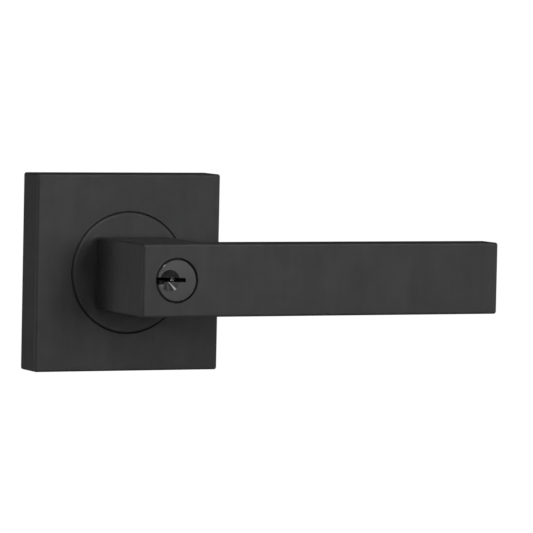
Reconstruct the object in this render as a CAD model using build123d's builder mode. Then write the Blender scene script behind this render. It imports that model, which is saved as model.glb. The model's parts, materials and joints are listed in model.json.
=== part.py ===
from build123d import *
import os

# Outside trim of a keyed lever lockset, in millimetres.
# Frame: origin on the spindle axis at the door face, +X along the lever,
# +Y into the door, +Z up. A "stand" is a distance out from the door face, so
# Plane.XZ.offset(stand) lies at Y = -stand and extrudes away from the door.

# Rose
ROSE_SIZE = 65.0
ROSE_STAND = 12.5
ROSE_WALL = 1.6
ROSE_FACE = 2.0
ROSE_EDGE = 0.8
DISC_RADIUS = 20.0
DISC_STAND = 13.0
DISC_THICKNESS = 1.4
DISC_EDGE = 1.1
DISC_GAP = 0.15
DISC_BORE = 10.2
WINDOW_EDGE = 0.15
COVER_BOSS_WIDTH = 7.0
COVER_BOSS_DEPTH = 5.0
COVER_BOSS_REACH = 3.2

# Lever
LEVER_HEIGHT = 23.7
LEVER_REACH = 115.5
LEVER_STAND = 53.5
GRIP_THICKNESS = 11.0
NECK_STAND = 14.0
NECK_LEFT = -11.9
NECK_RIGHT = 13.1
LEVER_EDGE = 0.8
NECK_ROOT_EDGE = 0.25
NECK_FILLET = 1.5
FACE_HOLE_EDGE = 0.15

# Hub, bearing and spring cassette
HUB_RADIUS = 9.9
HUB_BACK = 0.6
HUB_FRONT = 21.9
HUB_FLAT = 8.9
BUSH_RADIUS = 11.4
BUSH_CLEARANCE = 0.05
BUSH_BACK = 4.3
WASHER_RADIUS = 10.9
WASHER_BORE = 10.1
WASHER_THICKNESS = 0.9
PLATE_THICKNESS = 2.0
PLATE_SIZE = 61.4
PLATE_BORE = 12.6
PLATE_CORNER = 3.0
PLATE_NOTCH_WIDTH = 8.0
PLATE_NOTCH_DEPTH = 2.8
HOUSING_RADIUS = 19.8
HOUSING_BORE = 18.0
HOUSING_FRONT = 10.0
FLANGE_RADIUS = 26.5
FLANGE_STAND = 4.6
CAM_BACK = 2.4
CAM_FRONT = 4.2
CAM_RADIUS = 12.4
CAM_LUG_RADIUS = 17.3
CAM_LUG_HALF_ANGLE = 14.0
STOP_RADIUS = 14.6
STOP_ANGLE = 16.0
STOP_ROOT = 18.5
CAM_LUG_ROOT = 11.4
CIRCLIP_BACK = 1.3
CIRCLIP_FRONT = 2.3
CIRCLIP_GROOVE = 9.0
CIRCLIP_RADIUS = 11.6
CIRCLIP_GAP_ANGLE = 50.0
SPRING_RADIUS = 13.0
SPRING_WIRE = 0.7
SPRING_FRONT = 9.2
SPRING_BACK = 5.2
SPRING_TURNS = 2.5
FORK_INNER = 14.4
FORK_REACH = 1.0
FORK_ROOT = 0.2
FORK_OVERLAP = 0.5
FORK_GAP_ANGLE = 3.4
FORK_HALF_ANGLE = 10.0

# Fixings
POST_SPACING = 38.0
POST_RADIUS = 3.5
POST_THREAD_RADIUS = 2.1
POST_LENGTH = 22.0
POST_THREAD_DEPTH = 16.0
POST_CHAMFER = 0.5
CASSETTE_SCREW_CIRCLE = 23.0
M3_RADIUS = 1.5
M3_HEAD_RADIUS = 2.8
M3_HEAD_HEIGHT = 1.1
M3_SOCKET = 2.0
M3_SOCKET_DEPTH = 0.8
M3_HEAD_GAP = 0.1
GRUB_SOCKET = 1.5
GRUB_SOCKET_DEPTH = 1.6
GRUB_SINK = 0.3
COVER_SCREW_STAND = 3.5
COVER_SCREW_LENGTH = 5.6
LEVER_SCREW_STAND = 17.6
M5_RADIUS = 2.5
M5_SOCKET = 2.5
M5_SOCKET_DEPTH = 2.5
M5_SINK = 0.4
M5_HOLE_END = 4.0
HUB_SCREW_HOLE_END = 3.0

# Spindle and tailpiece
SPINDLE_SIDE = 9.0
SPINDLE_BORE = 3.3
SPINDLE_BACK = -52.0
SPINDLE_FRONT = 21.4
SPINDLE_CHAMFER = 0.6
TAIL_WIDTH = 5.6
TAIL_THICKNESS = 1.2
TAIL_FRONT = 25.9
TAIL_BACK = -60.0
TAIL_PIN_STAND = 24.4
TAIL_PIN_RADIUS = 0.75
TAIL_PIN_SINK = 0.2
TAIL_CHAMFER = 0.8

# Cylinder
SHELL_RADIUS = 8.7
SHELL_FRONT = 51.2
SHELL_BACK = 28.2
SHELL_RIB_REACH = 9.7
SHELL_RIB_WIDTH = 3.0
SHELL_CLEARANCE = 0.05
RING_BACK = 27.1
RING_FRONT = 28.1
RING_INNER = 8.0
RING_OUTER = 10.4
RING_GAP_ANGLE = 36.0
FACE_HOLE = 7.3
PLUG_FACE = 53.4
PLUG_HEAD_RADIUS = 7.05
PLUG_HEAD_BACK = 49.8
PLUG_RADIUS = 6.35
PLUG_CLEARANCE = 0.05
PLUG_BACK = 26.4
PLUG_BOSS_RADIUS = 4.6
PLUG_BOSS_BACK = 22.9
PLUG_CHAMFER = 0.5
PLUG_CLIP_BACK = 27.25
PLUG_CLIP_FRONT = 28.0
PLUG_CLIP_GROOVE = 5.2
PLUG_CLIP_RADIUS = 7.4
PLUG_CLIP_GAP_ANGLE = 60.0

# Keyway
KEYWAY_LEFT = -7.2
KEYWAY_RIGHT = 3.1
KEYWAY_BOTTOM = -0.47
KEYWAY_TOP = 0.9
KEYWAY_STEP = -4.1
KEYWAY_WIDE_BOTTOM = -1.2
KEYWAY_WIDE_TOP = 1.1
KEYWAY_BACK = 29.2
FUNNEL_CENTRE = -2.5
FUNNEL_RADIUS = 3.5
FUNNEL_DEPTH = 2.2

# Wafers
WAFER_COUNT = 5
WAFER_FRONT_STAND = 45.6
WAFER_PITCH = 3.3
WAFER_THICKNESS = 1.0
WAFER_SLOT_THICKNESS = 1.1
WAFER_HALF_WIDTH = 3.2
WAFER_RADIUS = 6.3
WAFER_SLOT_HALF = 3.25
WAFER_WINDOW_LEFT = -5.1
WAFER_WINDOW_RIGHT = (0.95, 1.6, 0.6, 2.0, 1.3)
WAFER_WINDOW_HALF = 1.25
WAFER_EAR = (-2.6, -1.4)
WAFER_EAR_TOP = 4.3
WAFER_POCKET = (-3.5, 3.4)
WAFER_POCKET_TOP = 4.4
WAFER_GROOVE_REACH = 7.45
WAFER_GROOVE_HALF = 3.35
WAFER_GROOVE_BACK = 31.0
WAFER_GROOVE_FRONT = 47.0
WAFER_SPRING_RADIUS = 0.36
WAFER_SPRING_WIRE = 0.11
WAFER_SPRING_TURNS = 6

KEYWAY_CENTRE = (KEYWAY_BOTTOM + KEYWAY_TOP) / 2
GRIP_BACK = LEVER_STAND - GRIP_THICKNESS
WAFER_STANDS = [WAFER_FRONT_STAND - WAFER_PITCH * i for i in range(WAFER_COUNT)]

os.makedirs("parts", exist_ok=True)


def sector(inner, outer, start, end):
    """Face of a ring sector about the local origin, angles in degrees."""
    arc = end - start
    with BuildSketch(Plane.XY, mode=Mode.PRIVATE) as face:
        with BuildLine():
            outer_arc = CenterArc((0, 0), outer, start, arc)
            inner_arc = CenterArc((0, 0), inner, start, arc)
            Line(outer_arc @ 0, inner_arc @ 0)
            Line(outer_arc @ 1, inner_arc @ 1)
        make_face()
    return face.sketch


def open_ring(inner, outer, gap):
    """Face of a ring with a gap at the bottom, the gap as an angle in degrees."""
    return sector(inner, outer, gap / 2 - 90, 270 - gap / 2)


def fork(middle):
    """Two sectors either side of a spring leg that points along the middle angle."""
    left = sector(FORK_INNER, CAM_LUG_RADIUS, middle + FORK_GAP_ANGLE, middle + FORK_HALF_ANGLE)
    right = sector(FORK_INNER, CAM_LUG_RADIUS, middle - FORK_HALF_ANGLE, middle - FORK_GAP_ANGLE)
    return [left, right]


# Square cover with a round window for the centre disc and a boss for its grub screw
with BuildPart() as rose_cover:
    with BuildSketch(Plane.XZ):
        Rectangle(ROSE_SIZE, ROSE_SIZE)
    extrude(amount=ROSE_STAND)
    front_rim = rose_cover.faces().sort_by(Axis.Y)[0].edges()
    fillet(front_rim + rose_cover.edges().filter_by(Axis.Y), ROSE_EDGE)
    with BuildSketch(Plane.XZ):
        Rectangle(ROSE_SIZE - 2 * ROSE_WALL, ROSE_SIZE - 2 * ROSE_WALL)
    extrude(amount=ROSE_STAND - ROSE_FACE, mode=Mode.SUBTRACT)
    with BuildSketch(Plane.XZ):
        Circle(DISC_RADIUS + DISC_GAP)
    extrude(amount=ROSE_STAND, mode=Mode.SUBTRACT)
    window_rim = rose_cover.edges().filter_by(GeomType.CIRCLE).sort_by(Axis.Y)[0]
    chamfer(window_rim, WINDOW_EDGE)
    with BuildSketch(Plane.XY.offset(-ROSE_SIZE / 2 + ROSE_WALL / 2)):
        with Locations((0, -COVER_SCREW_STAND)):
            Rectangle(COVER_BOSS_WIDTH, COVER_BOSS_DEPTH)
    extrude(amount=COVER_BOSS_REACH)
    with BuildSketch(Plane.XY.offset(-ROSE_SIZE / 2)):
        with Locations((0, -COVER_SCREW_STAND)):
            Circle(M3_RADIUS)
    extrude(amount=ROSE_WALL + COVER_BOSS_REACH, mode=Mode.SUBTRACT)
rose_cover.part.label = "rose_cover"
export_step(rose_cover.part, "parts/rose_cover.step")

# Round bearing cap that shows through the cover
with BuildPart() as centre_disc:
    with BuildSketch(Plane.XZ.offset(DISC_STAND - DISC_THICKNESS)):
        Circle(DISC_RADIUS)
    extrude(amount=DISC_THICKNESS)
    disc_rim = centre_disc.faces().sort_by(Axis.Y)[0].edges()
    fillet(disc_rim, DISC_EDGE)
    with BuildSketch(Plane.XZ.offset(DISC_STAND - DISC_THICKNESS)):
        Circle(DISC_BORE)
    extrude(amount=DISC_THICKNESS, mode=Mode.SUBTRACT)
centre_disc.part.label = "centre_disc"
export_step(centre_disc.part, "parts/centre_disc.step")

# Cassette housing: flange, nose, bore, stop blocks and a fork for the front spring leg
with BuildPart() as spring_housing:
    with BuildSketch(Plane.XZ.offset(PLATE_THICKNESS)):
        Circle(FLANGE_RADIUS)
    extrude(amount=FLANGE_STAND - PLATE_THICKNESS)
    with BuildSketch(Plane.XZ.offset(PLATE_THICKNESS)):
        Circle(HOUSING_RADIUS)
    extrude(amount=DISC_STAND - DISC_THICKNESS - PLATE_THICKNESS)
    with BuildSketch(Plane.XZ.offset(PLATE_THICKNESS)):
        Circle(HOUSING_BORE)
    extrude(amount=HOUSING_FRONT - PLATE_THICKNESS, mode=Mode.SUBTRACT)
    with BuildSketch(Plane.XZ.offset(HOUSING_FRONT)):
        Circle(BUSH_RADIUS)
    extrude(amount=DISC_STAND, mode=Mode.SUBTRACT)
    with BuildSketch(Plane.XZ.offset(PLATE_THICKNESS)):
        add(sector(STOP_RADIUS, STOP_ROOT, 0, STOP_ANGLE))
        add(sector(STOP_RADIUS, STOP_ROOT, 180 - STOP_ANGLE, 180))
    extrude(amount=FLANGE_STAND - PLATE_THICKNESS)
    with BuildSketch(Plane.XZ.offset(HOUSING_FRONT - FORK_REACH - SPRING_WIRE)):
        add(fork(-90))
    extrude(amount=FORK_REACH + SPRING_WIRE + FORK_ROOT)
    with BuildSketch(Plane.XZ.offset(PLATE_THICKNESS)):
        with PolarLocations(CASSETTE_SCREW_CIRCLE, 4, start_angle=45):
            Circle(M3_RADIUS)
    extrude(amount=FLANGE_STAND - PLATE_THICKNESS, mode=Mode.SUBTRACT)
spring_housing.part.label = "spring_housing"
export_step(spring_housing.part, "parts/spring_housing.step")

# Plate that lies on the door and carries the cassette and the posts
with BuildPart() as mounting_plate:
    with BuildSketch(Plane.XZ):
        RectangleRounded(PLATE_SIZE, PLATE_SIZE, PLATE_CORNER)
        Circle(PLATE_BORE, mode=Mode.SUBTRACT)
        with GridLocations(0, POST_SPACING, 1, 2):
            Circle(POST_RADIUS, mode=Mode.SUBTRACT)
        with PolarLocations(CASSETTE_SCREW_CIRCLE, 4, start_angle=45):
            Circle(M3_RADIUS, mode=Mode.SUBTRACT)
        with Locations((0, -PLATE_SIZE / 2)):
            Rectangle(PLATE_NOTCH_WIDTH, 2 * PLATE_NOTCH_DEPTH, mode=Mode.SUBTRACT)
    extrude(amount=PLATE_THICKNESS)
    with BuildSketch(Plane.XZ):
        with PolarLocations(CASSETTE_SCREW_CIRCLE, 4, start_angle=45):
            Circle(M3_HEAD_RADIUS + M3_HEAD_GAP)
    extrude(amount=M3_HEAD_HEIGHT + M3_HEAD_GAP, mode=Mode.SUBTRACT)
mounting_plate.part.label = "mounting_plate"
export_step(mounting_plate.part, "parts/mounting_plate.step")

# Two tapped posts that reach into the door
with BuildPart() as mounting_posts:
    with BuildSketch(Plane.XZ.offset(-POST_LENGTH)):
        with GridLocations(0, POST_SPACING, 1, 2):
            Circle(POST_RADIUS)
    extrude(amount=POST_LENGTH + PLATE_THICKNESS)
    post_tips = mounting_posts.faces().sort_by(Axis.Y)[-2:]
    chamfer(post_tips.edges(), POST_CHAMFER)
    with BuildSketch(Plane.XZ.offset(-POST_LENGTH)):
        with GridLocations(0, POST_SPACING, 1, 2):
            Circle(POST_THREAD_RADIUS)
    extrude(amount=POST_THREAD_DEPTH, mode=Mode.SUBTRACT)
mounting_posts.part.label = "mounting_posts"
export_step(mounting_posts.part, "parts/mounting_posts.step")

# Four socket screws from the plate into the cassette flange
with BuildPart() as housing_screws:
    with BuildSketch(Plane.XZ.offset(M3_HEAD_GAP)):
        with PolarLocations(CASSETTE_SCREW_CIRCLE, 4, start_angle=45):
            Circle(M3_HEAD_RADIUS)
    extrude(amount=M3_HEAD_HEIGHT)
    with BuildSketch(Plane.XZ.offset(M3_HEAD_GAP + M3_HEAD_HEIGHT)):
        with PolarLocations(CASSETTE_SCREW_CIRCLE, 4, start_angle=45):
            Circle(M3_RADIUS)
    extrude(amount=FLANGE_STAND - M3_HEAD_HEIGHT - 2 * M3_HEAD_GAP)
    with BuildSketch(Plane.XZ.offset(M3_HEAD_GAP)):
        with PolarLocations(CASSETTE_SCREW_CIRCLE, 4, start_angle=45):
            RegularPolygon(M3_SOCKET / 2, 6, major_radius=False)
    extrude(amount=M3_SOCKET_DEPTH, mode=Mode.SUBTRACT)
housing_screws.part.label = "housing_screws"
export_step(housing_screws.part, "parts/housing_screws.step")

# Bearing bush pressed into the cassette
with BuildPart() as hub_bush:
    with BuildSketch(Plane.XZ.offset(BUSH_BACK)):
        Circle(BUSH_RADIUS)
        Circle(HUB_RADIUS + BUSH_CLEARANCE, mode=Mode.SUBTRACT)
    extrude(amount=DISC_STAND - DISC_THICKNESS - BUSH_BACK)
hub_bush.part.label = "hub_bush"
export_step(hub_bush.part, "parts/hub_bush.step")

# Low-friction washer between the centre disc and the neck
with BuildPart() as thrust_washer:
    with BuildSketch(Plane.XZ.offset(DISC_STAND)):
        Circle(WASHER_RADIUS)
        Circle(WASHER_BORE, mode=Mode.SUBTRACT)
    extrude(amount=WASHER_THICKNESS)
thrust_washer.part.label = "thrust_washer"
export_step(thrust_washer.part, "parts/thrust_washer.step")

# Grub screw that holds the cover to the cassette, from below
with BuildPart() as cover_set_screw:
    with BuildSketch(Plane.XY.offset(-ROSE_SIZE / 2 + GRUB_SINK)):
        with Locations((0, -COVER_SCREW_STAND)):
            Circle(M3_RADIUS)
    extrude(amount=COVER_SCREW_LENGTH)
    with BuildSketch(Plane.XY.offset(-ROSE_SIZE / 2 + GRUB_SINK)):
        with Locations((0, -COVER_SCREW_STAND)):
            RegularPolygon(GRUB_SOCKET / 2, 6, major_radius=False)
    extrude(amount=GRUB_SOCKET_DEPTH, mode=Mode.SUBTRACT)
cover_set_screw.part.label = "cover_set_screw"
export_step(cover_set_screw.part, "parts/cover_set_screw.step")

# Torsion spring round the bush, front leg down in the housing, rear leg up in the cam plate
with BuildPart() as return_spring:
    coil_height = SPRING_FRONT - SPRING_BACK
    with BuildLine():
        coil = Helix(
            pitch=coil_height / SPRING_TURNS,
            height=coil_height,
            radius=SPRING_RADIUS,
            center=(0, -SPRING_BACK, 0),
            direction=(0, -1, 0),
        )
    with BuildSketch(Plane(origin=coil @ 0, z_dir=coil % 0)):
        Circle(SPRING_WIRE)
    sweep(path=coil)
    for end in (coil @ 0, coil @ 1):
        outward = Vector(end.X, 0, end.Z).normalized()
        with BuildSketch(Plane(origin=end, z_dir=outward)):
            Circle(SPRING_WIRE)
        extrude(amount=CAM_LUG_RADIUS - SPRING_RADIUS)
        with Locations(end):
            Sphere(SPRING_WIRE)
return_spring.part.label = "return_spring"
export_step(return_spring.part, "parts/return_spring.step")

# One-piece lever: square neck, flat grip, bored for the hub and the cylinder
with BuildPart() as lever:
    with BuildSketch(Plane.XY.offset(-LEVER_HEIGHT / 2)):
        with BuildLine():
            Polyline(
                (NECK_LEFT, -NECK_STAND),
                (NECK_RIGHT, -NECK_STAND),
                (NECK_RIGHT, -GRIP_BACK),
                (LEVER_REACH, -GRIP_BACK),
                (LEVER_REACH, -LEVER_STAND),
                (NECK_LEFT, -LEVER_STAND),
                close=True,
            )
        make_face()
    extrude(amount=LEVER_HEIGHT)
    upright = lever.edges().filter_by(Axis.Z)
    inner_corner = upright.filter_by_position(Axis.X, NECK_RIGHT - 0.1, NECK_RIGHT + 0.1)
    fillet(inner_corner.sort_by(Axis.Y)[0], NECK_FILLET)
    upright = lever.edges().filter_by(Axis.Z)
    seams = upright.filter_by_position(Axis.Y, -GRIP_BACK, -GRIP_BACK + NECK_FILLET)
    seams = seams.filter_by_position(Axis.X, NECK_RIGHT, NECK_RIGHT + NECK_FILLET)
    root_rim = lever.faces().sort_by(Axis.Y)[-1].edges()
    fillet(lever.edges() - seams - root_rim, LEVER_EDGE)
    fillet(lever.faces().sort_by(Axis.Y)[-1].edges(), NECK_ROOT_EDGE)
    with BuildSketch(Plane.XZ.offset(NECK_STAND)):
        Circle(HUB_RADIUS)
    extrude(amount=RING_FRONT - NECK_STAND, mode=Mode.SUBTRACT)
    with BuildSketch(Plane.XZ.offset(RING_BACK)):
        Circle(RING_OUTER)
    extrude(amount=RING_FRONT - RING_BACK, mode=Mode.SUBTRACT)
    with BuildSketch(Plane.XZ.offset(RING_FRONT)):
        Circle(SHELL_RADIUS + SHELL_CLEARANCE)
        with Locations((SHELL_RIB_REACH / 2, 0)):
            Rectangle(SHELL_RIB_REACH + 2 * SHELL_CLEARANCE, SHELL_RIB_WIDTH + 2 * SHELL_CLEARANCE)
    extrude(amount=SHELL_FRONT + 2 * SHELL_CLEARANCE - RING_FRONT, mode=Mode.SUBTRACT)
    with BuildSketch(Plane.XZ.offset(SHELL_FRONT)):
        Circle(FACE_HOLE)
    extrude(amount=LEVER_STAND - SHELL_FRONT, mode=Mode.SUBTRACT)
    face_hole_rim = lever.edges().filter_by(GeomType.CIRCLE).sort_by(Axis.Y)[0]
    chamfer(face_hole_rim, FACE_HOLE_EDGE)
    with BuildSketch(Plane.XY.offset(-LEVER_HEIGHT / 2)):
        with Locations((0, -LEVER_SCREW_STAND)):
            Circle(M5_RADIUS)
    extrude(amount=LEVER_HEIGHT / 2 - M5_HOLE_END, mode=Mode.SUBTRACT)
lever.part.label = "lever"
export_step(lever.part, "parts/lever.step")

# Steel hub: turns in the bush, clamps in the neck and drives the spindle
with BuildPart() as lever_hub:
    with BuildSketch(Plane.XZ.offset(HUB_BACK)):
        Circle(HUB_RADIUS)
    extrude(amount=HUB_FRONT - HUB_BACK)
    with BuildSketch(Plane.XZ.offset(HUB_BACK)):
        Circle(HUB_RADIUS)
        Rectangle(2 * HUB_FLAT, 2 * HUB_RADIUS, mode=Mode.SUBTRACT)
    extrude(amount=CAM_FRONT - HUB_BACK, mode=Mode.SUBTRACT)
    with BuildSketch(Plane.XZ.offset(CIRCLIP_BACK)):
        Circle(HUB_RADIUS)
        Circle(CIRCLIP_GROOVE, mode=Mode.SUBTRACT)
    extrude(amount=CIRCLIP_FRONT - CIRCLIP_BACK, mode=Mode.SUBTRACT)
    with BuildSketch(Plane.XZ.offset(HUB_BACK)):
        Rectangle(SPINDLE_SIDE, SPINDLE_SIDE)
    extrude(amount=HUB_FRONT - HUB_BACK, mode=Mode.SUBTRACT)
    with BuildSketch(Plane.XY.offset(-HUB_RADIUS)):
        with Locations((0, -LEVER_SCREW_STAND)):
            Circle(M5_RADIUS)
    extrude(amount=HUB_RADIUS - HUB_SCREW_HOLE_END, mode=Mode.SUBTRACT)
lever_hub.part.label = "lever_hub"
export_step(lever_hub.part, "parts/lever_hub.step")

# Cam plate: keyed on the hub, its lug meets the stops and holds the rear spring leg
with BuildPart() as cam_plate:
    with BuildSketch(Plane.XZ.offset(CAM_BACK)):
        Circle(CAM_RADIUS)
        add(sector(CAM_LUG_ROOT, CAM_LUG_RADIUS, 90 - CAM_LUG_HALF_ANGLE, 90 + CAM_LUG_HALF_ANGLE))
    extrude(amount=CAM_FRONT - CAM_BACK)
    with BuildSketch(Plane.XZ.offset(CAM_BACK)):
        Circle(HUB_RADIUS)
        Rectangle(2 * HUB_FLAT, 2 * HUB_RADIUS, mode=Mode.INTERSECT)
    extrude(amount=CAM_FRONT - CAM_BACK, mode=Mode.SUBTRACT)
    with BuildSketch(Plane.XZ.offset(CAM_FRONT - FORK_ROOT)):
        add(fork(90))
    extrude(amount=SPRING_BACK + SPRING_WIRE - CAM_FRONT + FORK_OVERLAP)
cam_plate.part.label = "cam_plate"
export_step(cam_plate.part, "parts/cam_plate.step")

# Open ring behind the cam plate, in the hub's groove
with BuildPart() as hub_circlip:
    with BuildSketch(Plane.XZ.offset(CIRCLIP_BACK)):
        add(open_ring(CIRCLIP_GROOVE, CIRCLIP_RADIUS, CIRCLIP_GAP_ANGLE))
    extrude(amount=CIRCLIP_FRONT - CIRCLIP_BACK)
hub_circlip.part.label = "hub_circlip"
export_step(hub_circlip.part, "parts/hub_circlip.step")

# Square spindle, bored through for the tailpiece
with BuildPart() as spindle:
    with BuildSketch(Plane.XZ.offset(SPINDLE_BACK)):
        Rectangle(SPINDLE_SIDE, SPINDLE_SIDE)
    extrude(amount=SPINDLE_FRONT - SPINDLE_BACK)
    chamfer(spindle.faces().sort_by(Axis.Y)[-1].edges(), SPINDLE_CHAMFER)
    with BuildSketch(Plane.XZ.offset(SPINDLE_BACK)):
        Circle(SPINDLE_BORE)
    extrude(amount=SPINDLE_FRONT - SPINDLE_BACK, mode=Mode.SUBTRACT)
spindle.part.label = "spindle"
export_step(spindle.part, "parts/spindle.step")

# Grub screw under the neck that clamps the hub and the spindle
with BuildPart() as lever_set_screw:
    with BuildSketch(Plane.XY.offset(-LEVER_HEIGHT / 2 + M5_SINK)):
        with Locations((0, -LEVER_SCREW_STAND)):
            Circle(M5_RADIUS)
    extrude(amount=LEVER_HEIGHT / 2 - M5_SINK - SPINDLE_SIDE / 2)
    with BuildSketch(Plane.XY.offset(-LEVER_HEIGHT / 2 + M5_SINK)):
        with Locations((0, -LEVER_SCREW_STAND)):
            RegularPolygon(M5_SOCKET / 2, 6, major_radius=False)
    extrude(amount=M5_SOCKET_DEPTH, mode=Mode.SUBTRACT)
lever_set_screw.part.label = "lever_set_screw"
export_step(lever_set_screw.part, "parts/lever_set_screw.step")

# Cylinder shell: ribbed against turning, cross-grooved where the wafers lock
with BuildPart() as cylinder_shell:
    with BuildSketch(Plane.XZ.offset(SHELL_BACK)):
        Circle(SHELL_RADIUS)
        with Locations((SHELL_RIB_REACH / 2, 0)):
            Rectangle(SHELL_RIB_REACH, SHELL_RIB_WIDTH)
    extrude(amount=SHELL_FRONT - SHELL_BACK)
    with BuildSketch(Plane.XZ.offset(SHELL_BACK)):
        Circle(PLUG_RADIUS + PLUG_CLEARANCE)
    extrude(amount=SHELL_FRONT - SHELL_BACK, mode=Mode.SUBTRACT)
    with BuildSketch(Plane.XZ.offset(PLUG_HEAD_BACK - PLUG_CLEARANCE)):
        Circle(PLUG_HEAD_RADIUS + PLUG_CLEARANCE)
    extrude(amount=SHELL_FRONT, mode=Mode.SUBTRACT)
    with BuildSketch(Plane.XZ.offset(WAFER_GROOVE_BACK)):
        Rectangle(2 * WAFER_GROOVE_REACH, 2 * WAFER_GROOVE_HALF)
        Rectangle(2 * WAFER_GROOVE_HALF, 2 * WAFER_GROOVE_REACH)
    extrude(amount=WAFER_GROOVE_FRONT - WAFER_GROOVE_BACK, mode=Mode.SUBTRACT)
cylinder_shell.part.label = "cylinder_shell"
export_step(cylinder_shell.part, "parts/cylinder_shell.step")

# Open ring that holds the shell in the neck
with BuildPart() as cylinder_ring:
    with BuildSketch(Plane.XZ.offset(RING_BACK)):
        add(open_ring(RING_INNER, RING_OUTER, RING_GAP_ANGLE))
    extrude(amount=RING_FRONT - RING_BACK)
cylinder_ring.part.label = "cylinder_ring"
export_step(cylinder_ring.part, "parts/cylinder_ring.step")

# Plug: head, body, boss, keyway, funnel, wafer slots and spring pockets
with BuildPart() as key_plug:
    with BuildSketch(Plane.XZ.offset(PLUG_HEAD_BACK)):
        Circle(PLUG_HEAD_RADIUS)
    extrude(amount=PLUG_FACE - PLUG_HEAD_BACK)
    chamfer(key_plug.faces().sort_by(Axis.Y)[0].edges(), PLUG_CHAMFER)
    with BuildSketch(Plane.XZ.offset(PLUG_BACK)):
        Circle(PLUG_RADIUS)
    extrude(amount=PLUG_HEAD_BACK - PLUG_BACK)
    with BuildSketch(Plane.XZ.offset(PLUG_BOSS_BACK)):
        Circle(PLUG_BOSS_RADIUS)
    extrude(amount=PLUG_BACK - PLUG_BOSS_BACK)
    with BuildSketch(Plane.XZ.offset(PLUG_CLIP_BACK)):
        Circle(PLUG_RADIUS)
        Circle(PLUG_CLIP_GROOVE, mode=Mode.SUBTRACT)
    extrude(amount=PLUG_CLIP_FRONT - PLUG_CLIP_BACK, mode=Mode.SUBTRACT)
    with BuildSketch(Plane.XZ.offset(PLUG_BOSS_BACK)):
        Rectangle(TAIL_THICKNESS, TAIL_WIDTH)
    extrude(amount=TAIL_FRONT - PLUG_BOSS_BACK, mode=Mode.SUBTRACT)
    with BuildSketch(Plane.YZ.offset(-PLUG_BOSS_RADIUS)):
        with Locations((-TAIL_PIN_STAND, 0)):
            Circle(TAIL_PIN_RADIUS)
    extrude(amount=2 * PLUG_BOSS_RADIUS, mode=Mode.SUBTRACT)
    with BuildSketch(Plane.XZ.offset(KEYWAY_BACK)):
        with Locations(((KEYWAY_LEFT + KEYWAY_RIGHT) / 2, KEYWAY_CENTRE)):
            Rectangle(KEYWAY_RIGHT - KEYWAY_LEFT, KEYWAY_TOP - KEYWAY_BOTTOM)
        with Locations(((KEYWAY_LEFT + KEYWAY_STEP) / 2, (KEYWAY_WIDE_BOTTOM + KEYWAY_WIDE_TOP) / 2)):
            Rectangle(KEYWAY_STEP - KEYWAY_LEFT, KEYWAY_WIDE_TOP - KEYWAY_WIDE_BOTTOM)
    extrude(amount=PLUG_FACE - KEYWAY_BACK, mode=Mode.SUBTRACT)
    with BuildSketch(Plane.XY):
        with BuildLine():
            Polyline(
                (FUNNEL_CENTRE, -PLUG_FACE + FUNNEL_DEPTH),
                (FUNNEL_CENTRE, -PLUG_FACE),
                (FUNNEL_CENTRE + FUNNEL_RADIUS, -PLUG_FACE),
                close=True,
            )
        make_face()
    revolve(axis=Axis((FUNNEL_CENTRE, 0, 0), (0, 1, 0)), mode=Mode.SUBTRACT)
    for stand in WAFER_STANDS:
        with BuildSketch(Plane.XZ.offset(stand - WAFER_SLOT_THICKNESS / 2)):
            Rectangle(4 * PLUG_RADIUS, 2 * WAFER_SLOT_HALF)
            with Locations((sum(WAFER_POCKET) / 2, (WAFER_SLOT_HALF + WAFER_POCKET_TOP) / 2)):
                Rectangle(WAFER_POCKET[1] - WAFER_POCKET[0], WAFER_POCKET_TOP - WAFER_SLOT_HALF)
        extrude(amount=WAFER_SLOT_THICKNESS, mode=Mode.SUBTRACT)
key_plug.part.label = "key_plug"
export_step(key_plug.part, "parts/key_plug.step")

# Open clip on the plug, behind the shell
with BuildPart() as plug_clip:
    with BuildSketch(Plane.XZ.offset(PLUG_CLIP_BACK)):
        add(open_ring(PLUG_CLIP_GROOVE, PLUG_CLIP_RADIUS, PLUG_CLIP_GAP_ANGLE))
    extrude(amount=PLUG_CLIP_FRONT - PLUG_CLIP_BACK)
plug_clip.part.label = "plug_clip"
export_step(plug_clip.part, "parts/plug_clip.step")

# Flat tailpiece from the plug through the spindle into the door
with BuildPart() as tailpiece:
    with BuildSketch(Plane.XZ.offset(TAIL_BACK)):
        Rectangle(TAIL_THICKNESS, TAIL_WIDTH)
    extrude(amount=TAIL_FRONT - TAIL_BACK)
    tip_sides = tailpiece.faces().sort_by(Axis.Y)[-1].edges().filter_by(Axis.X)
    chamfer(tip_sides, TAIL_CHAMFER)
    with BuildSketch(Plane.YZ.offset(-TAIL_THICKNESS)):
        with Locations((-TAIL_PIN_STAND, 0)):
            Circle(TAIL_PIN_RADIUS)
    extrude(amount=2 * TAIL_THICKNESS, mode=Mode.SUBTRACT)
tailpiece.part.label = "tailpiece"
export_step(tailpiece.part, "parts/tailpiece.step")

# Cross pin through the plug's boss and the tailpiece
with BuildPart() as tail_pin:
    with BuildSketch(Plane.YZ.offset(-PLUG_BOSS_RADIUS + TAIL_PIN_SINK)):
        with Locations((-TAIL_PIN_STAND, 0)):
            Circle(TAIL_PIN_RADIUS)
    extrude(amount=2 * (PLUG_BOSS_RADIUS - TAIL_PIN_SINK))
tail_pin.part.label = "tail_pin"
export_step(tail_pin.part, "parts/tail_pin.step")

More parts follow.
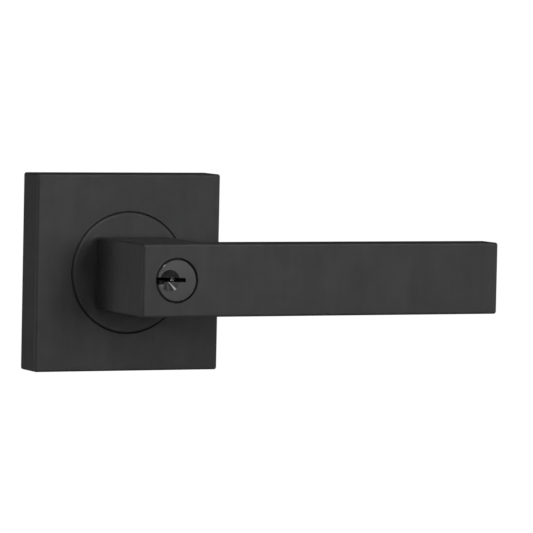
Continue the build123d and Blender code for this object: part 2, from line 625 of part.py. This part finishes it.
# Wafers: windowed plates with an ear for the spring, flush with the plug
for i, stand in enumerate(WAFER_STANDS):
    window_right = WAFER_WINDOW_RIGHT[i]
    with BuildPart() as wafer:
        with BuildSketch(Plane.XZ.offset(stand - WAFER_THICKNESS / 2)):
            Circle(WAFER_RADIUS)
            Rectangle(4 * WAFER_RADIUS, 2 * WAFER_HALF_WIDTH, mode=Mode.INTERSECT)
            with Locations((sum(WAFER_EAR) / 2, WAFER_EAR_TOP / 2)):
                Rectangle(WAFER_EAR[1] - WAFER_EAR[0], WAFER_EAR_TOP)
            with Locations(((WAFER_WINDOW_LEFT + window_right) / 2, KEYWAY_CENTRE)):
                window_width = window_right - WAFER_WINDOW_LEFT
                Rectangle(window_width, 2 * WAFER_WINDOW_HALF, mode=Mode.SUBTRACT)
        extrude(amount=WAFER_THICKNESS)
    wafer.part.label = f"wafer_{i + 1}"
    export_step(wafer.part, f"parts/wafer_{i + 1}.step")

# Small coil springs between the wafer ears and the ends of their pockets
for i, stand in enumerate(WAFER_STANDS):
    spring_start = WAFER_EAR[1] + WAFER_SPRING_WIRE
    spring_length = WAFER_POCKET[1] - WAFER_SPRING_WIRE - spring_start
    spring_level = (WAFER_SLOT_HALF + WAFER_POCKET_TOP) / 2
    with BuildPart() as wafer_spring:
        with BuildLine():
            turns = Helix(
                pitch=spring_length / WAFER_SPRING_TURNS,
                height=spring_length,
                radius=WAFER_SPRING_RADIUS,
                center=(spring_start, -stand, spring_level),
                direction=(1, 0, 0),
            )
        with BuildSketch(Plane(origin=turns @ 0, z_dir=turns % 0)):
            Circle(WAFER_SPRING_WIRE)
        sweep(path=turns)
    wafer_spring.part.label = f"wafer_spring_{i + 1}"
    export_step(wafer_spring.part, f"parts/wafer_spring_{i + 1}.step")
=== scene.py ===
import json
import math

import bmesh
import bpy
from mathutils import Matrix, Vector

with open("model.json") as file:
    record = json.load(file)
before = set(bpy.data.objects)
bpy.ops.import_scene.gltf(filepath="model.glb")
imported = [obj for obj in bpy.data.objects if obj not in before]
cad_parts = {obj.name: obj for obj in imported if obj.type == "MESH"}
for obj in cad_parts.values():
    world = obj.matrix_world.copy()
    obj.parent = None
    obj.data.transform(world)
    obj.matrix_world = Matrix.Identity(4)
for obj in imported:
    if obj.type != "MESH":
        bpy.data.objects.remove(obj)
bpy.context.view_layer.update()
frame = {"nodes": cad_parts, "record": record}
nodes = frame["nodes"]

# ---------------------------------------------------------------- node helpers

# The middle band of a noise value, where most of it lies.
NOISE_BAND = (0.3, 0.7)
FULL_RANGE = (0.0, 1.0)


def new_material(name):
    """A node material with its tree, its Principled shader and the object's own coordinates."""
    material = bpy.data.materials.new(name)
    material.use_nodes = True
    tree = material.node_tree
    here = node(tree, "ShaderNodeTexCoord").outputs["Object"]
    return material, tree, tree.nodes["Principled BSDF"], here


def node(tree, kind, values=None, **settings):
    """Adds one node, with its properties and its unlinked input values."""
    made = tree.nodes.new(kind)
    for key, value in settings.items():
        setattr(made, key, value)
    for key, value in (values or {}).items():
        made.inputs[key].default_value = value
    return made


def noise(tree, coordinates, scale, detail=4.0, roughness=0.55):
    """Noise over coordinates in metres, so scale counts features per metre."""
    values = {"Scale": scale, "Detail": detail, "Roughness": roughness}
    made = node(tree, "ShaderNodeTexNoise", values)
    tree.links.new(coordinates, made.inputs["Vector"])
    return made.outputs["Fac"]


def remap(tree, value, source, target):
    """Maps one range of a value onto another."""
    values = {"From Min": source[0], "From Max": source[1], "To Min": target[0], "To Max": target[1]}
    made = node(tree, "ShaderNodeMapRange", values)
    tree.links.new(value, made.inputs["Value"])
    return made.outputs["Result"]


def blend_values(tree, first, second, share):
    """The first value plus a share of the second."""
    made = node(tree, "ShaderNodeMath", {1: share}, operation="MULTIPLY_ADD")
    tree.links.new(second, made.inputs[0])
    tree.links.new(first, made.inputs[2])
    return made.outputs["Value"]


def stretched(tree, coordinates, scale):
    """Coordinates scaled axis by axis, for marks that run one way."""
    made = node(tree, "ShaderNodeVectorMath", {1: scale}, operation="MULTIPLY")
    tree.links.new(coordinates, made.inputs[0])
    return made.outputs["Vector"]


def set_colour(tree, shader, value, dark, light):
    """Base colour running from dark to light with the value."""
    ramp = node(tree, "ShaderNodeValToRGB")
    ramp.color_ramp.elements[0].color = (*dark, 1.0)
    ramp.color_ramp.elements[1].color = (*light, 1.0)
    tree.links.new(value, ramp.inputs["Fac"])
    tree.links.new(ramp.outputs["Color"], shader.inputs["Base Color"])


def set_roughness(tree, shader, value, roughness):
    """Roughness running between two bounds with the middle band of the noise."""
    tree.links.new(remap(tree, value, NOISE_BAND, roughness), shader.inputs["Roughness"])


def set_bump(tree, shader, height, distance):
    """Bumps of the given depth in metres."""
    made = node(tree, "ShaderNodeBump", {"Strength": 1.0, "Distance": distance})
    tree.links.new(height, made.inputs["Height"])
    tree.links.new(made.outputs["Normal"], shader.inputs["Normal"])


# ---------------------------------------------------------------- materials

COAT_CLOUDS = 70.0
COAT_CLOUD_DETAIL = 4.0
COAT_CLOUD_ROUGHNESS = 0.6
COAT_STREAKS = (420.0, 420.0, 60.0)
COAT_STREAK_SHARE = 0.45
COAT_TONE_BAND = (0.5, 0.95)
COAT_SHEEN = 260.0
COAT_GRAIN = 5200.0
COAT_GRAIN_DEPTH = 0.00001
FINE_DETAIL = 2.0

PLUG_TONE = 200.0
PLUG_SHEEN = 150.0
PLUG_METALLIC = 0.4

METAL_CLOUDS = 180.0
METAL_CLOUD_DETAIL = 5.0
METAL_SCRATCHES = 3500.0
SCRATCH_DEPTH = 0.000004
CAST_DEPTH = 0.00002

PLASTIC_TONE = 300.0
COMMON_SHEEN = 900.0


def grey(level):
    return (level, level, level)


def coated_metal(name, dark, light, roughness):
    """Fine matt coat: cloudy tone, upright streaks, fine grain and a slightly uneven sheen."""
    material, tree, shader, here = new_material(name)
    clouds = noise(tree, here, COAT_CLOUDS, COAT_CLOUD_DETAIL, COAT_CLOUD_ROUGHNESS)
    streaks = noise(tree, stretched(tree, here, COAT_STREAKS), 1.0, FINE_DETAIL)
    tone = blend_values(tree, clouds, streaks, COAT_STREAK_SHARE)
    set_colour(tree, shader, remap(tree, tone, COAT_TONE_BAND, FULL_RANGE), dark, light)
    set_roughness(tree, shader, noise(tree, here, COAT_SHEEN), roughness)
    set_bump(tree, shader, noise(tree, here, COAT_GRAIN, FINE_DETAIL), COAT_GRAIN_DEPTH)
    return material


def plug_metal(name, dark, light, roughness):
    """Smooth dark plating, slightly uneven in tone and sheen."""
    material, tree, shader, here = new_material(name)
    set_colour(tree, shader, noise(tree, here, PLUG_TONE), dark, light)
    set_roughness(tree, shader, noise(tree, here, PLUG_SHEEN), roughness)
    shader.inputs["Metallic"].default_value = PLUG_METALLIC
    return material


def metal(name, dark, light, roughness, scratch=SCRATCH_DEPTH):
    """Bare metal with fine marks and a slightly uneven colour."""
    material, tree, shader, here = new_material(name)
    clouds = noise(tree, here, METAL_CLOUDS, METAL_CLOUD_DETAIL)
    set_colour(tree, shader, remap(tree, clouds, NOISE_BAND, FULL_RANGE), dark, light)
    set_roughness(tree, shader, noise(tree, here, COMMON_SHEEN), roughness)
    set_bump(tree, shader, noise(tree, here, METAL_SCRATCHES), scratch)
    shader.inputs["Metallic"].default_value = 1.0
    return material


def plastic(name, dark, light, roughness):
    """Moulded plastic, slightly uneven in tone and sheen."""
    material, tree, shader, here = new_material(name)
    set_colour(tree, shader, noise(tree, here, PLASTIC_TONE), dark, light)
    set_roughness(tree, shader, noise(tree, here, COMMON_SHEEN), roughness)
    return material


# Each maker takes a name, a dark and a light colour, and the bounds of the roughness.
MATERIALS = {
    "matt_black": coated_metal("matt_black", grey(0.023), grey(0.034), (0.46, 0.56)),
    "satin_black": plug_metal("satin_black", grey(0.052), grey(0.058), (0.19, 0.21)),
    "cast_zinc": metal("cast_zinc", (0.36, 0.37, 0.39), (0.46, 0.47, 0.49), (0.5, 0.65), CAST_DEPTH),
    "zinc_plated_steel": metal("zinc_plated_steel", (0.52, 0.53, 0.54), grey(0.66), (0.28, 0.42)),
    "black_oxide_steel": metal("black_oxide_steel", (0.05, 0.05, 0.055), (0.09, 0.09, 0.095), (0.4, 0.55)),
    "spring_steel": metal("spring_steel", (0.36, 0.36, 0.37), (0.48, 0.48, 0.49), (0.25, 0.4)),
    "acetal": plastic("acetal", grey(0.008), grey(0.014), (0.45, 0.6)),
    "nickel_silver": metal("nickel_silver", (0.55, 0.54, 0.51), (0.68, 0.67, 0.64), (0.2, 0.32)),
}

for part in frame["record"]["subparts"]:
    mesh = nodes[part["node"]].data
    mesh.materials.clear()
    mesh.materials.append(MATERIALS[part["material_slot"]])

# ---------------------------------------------------------------- camera

VIEW_AZIMUTH = 24.25
VIEW_ELEVATION = 3.41
VIEW_ROLL = 1.18
VIEW_DISTANCE = 1.5185
VIEW_TARGET = Vector((0.04196, -0.030, 0.00288))
VIEW_LENS = 311.04
SENSOR = 36.0
CLIP_END = 20.0


def towards(azimuth, elevation):
    """Unit vector from the object, at azimuth (0 in front, positive left) and elevation in degrees."""
    a = math.radians(azimuth)
    e = math.radians(elevation)
    return Vector((-math.sin(a) * math.cos(e), -math.cos(a) * math.cos(e), math.sin(e)))


def make_camera():
    """The camera, aimed at VIEW_TARGET and rolled about its own axis."""
    back = towards(VIEW_AZIMUTH, VIEW_ELEVATION)
    right = Vector((0, 0, 1)).cross(back).normalized()
    up = back.cross(right)
    roll = Matrix.Rotation(math.radians(VIEW_ROLL), 3, back)
    axes = Matrix((roll @ right, roll @ up, back)).transposed().to_4x4()
    data = bpy.data.cameras.new("camera")
    data.lens = VIEW_LENS
    data.sensor_width = SENSOR
    data.clip_end = CLIP_END
    camera = bpy.data.objects.new("camera", data)
    bpy.context.scene.collection.objects.link(camera)
    camera.matrix_world = Matrix.Translation(VIEW_TARGET + back * VIEW_DISTANCE) @ axes
    bpy.context.scene.camera = camera


make_camera()

# ---------------------------------------------------------------- studio

LIGHT_AIM = Vector((0.03, -0.03, 0.0))

# Name, azimuth and elevation in degrees, distance, width and height in metres, and power in watts.
STUDIO = [
    ("key_light", -13, 9, 0.8, (0.30, 0.30), 1.45),
    ("right_light", -70, 10, 0.35, (0.2, 0.2), 0.2),
    ("top_light", 0, 80, 0.8, (0.5, 0.5), 0.3),
    ("left_light", 50, 20, 0.8, (0.4, 0.4), 0.5),
    ("left_rear_light", 122, 5, 0.8, (0.4, 0.5), 0.70),
    ("low_left_light", 115, -30, 0.8, (0.4, 0.4), 1.4),
    ("low_light", -10, -42, 0.8, (0.4, 0.3), 0.9),
    ("rear_light", -110, -25, 0.8, (0.5, 0.5), 3.0),
    ("wedge_light", 26, 47, 0.6, (0.20, 0.09), 0.65),
    ("crescent_light", 54, 54, 0.6, (0.12, 0.10), 0.5),
    ("upper_right_light", -34, 42, 0.6, (0.16, 0.12), 0.5),
]
WHITE = (1, 1, 1, 1)
WORLD_STRENGTH = 0.01
SHELL_RADIUS = 5.0
SHELL_SUBDIVISIONS = 4
SHELL_GLOW = 1.02
FLOOR_HEIGHT = -1.0


def softbox(name, azimuth, elevation, distance, size, power):
    """A rectangular light aimed at LIGHT_AIM, which the camera doesn't see."""
    data = bpy.data.lights.new(name, "AREA")
    data.shape = "RECTANGLE"
    data.size = size[0]
    data.size_y = size[1]
    data.energy = power
    light = bpy.data.objects.new(name, data)
    bpy.context.scene.collection.objects.link(light)
    direction = towards(azimuth, elevation)
    light.location = LIGHT_AIM + direction * distance
    light.rotation_mode = "QUATERNION"
    light.rotation_quaternion = direction.to_track_quat("Z", "Y")
    light.visible_camera = False


def make_world():
    """A faint even light from everywhere."""
    world = bpy.data.worlds.new("studio")
    world.use_nodes = True
    background = world.node_tree.nodes["Background"]
    background.inputs["Color"].default_value = WHITE
    background.inputs["Strength"].default_value = WORLD_STRENGTH
    bpy.context.scene.world = world


def backdrop():
    """A plain white shell round everything, cut off flat underneath as the studio's floor."""
    mesh = bpy.data.meshes.new("backdrop")
    shell = bmesh.new()
    bmesh.ops.create_icosphere(shell, subdivisions=SHELL_SUBDIVISIONS, radius=SHELL_RADIUS)
    for vertex in shell.verts:
        vertex.co.z = max(vertex.co.z, FLOOR_HEIGHT)
    shell.to_mesh(mesh)
    shell.free()
    made = bpy.data.objects.new("backdrop", mesh)
    bpy.context.scene.collection.objects.link(made)
    material = bpy.data.materials.new("backdrop_white")
    material.use_nodes = True
    tree = material.node_tree
    tree.nodes.remove(tree.nodes["Principled BSDF"])
    glow = node(tree, "ShaderNodeEmission", {"Color": WHITE, "Strength": SHELL_GLOW})
    tree.links.new(glow.outputs["Emission"], tree.nodes["Material Output"].inputs["Surface"])
    mesh.materials.append(material)
    made.visible_diffuse = False
    made.visible_glossy = False
    made.visible_shadow = False


for light in STUDIO:
    softbox(*light)
make_world()
bpy.context.scene.view_settings.view_transform = "Standard"
backdrop()
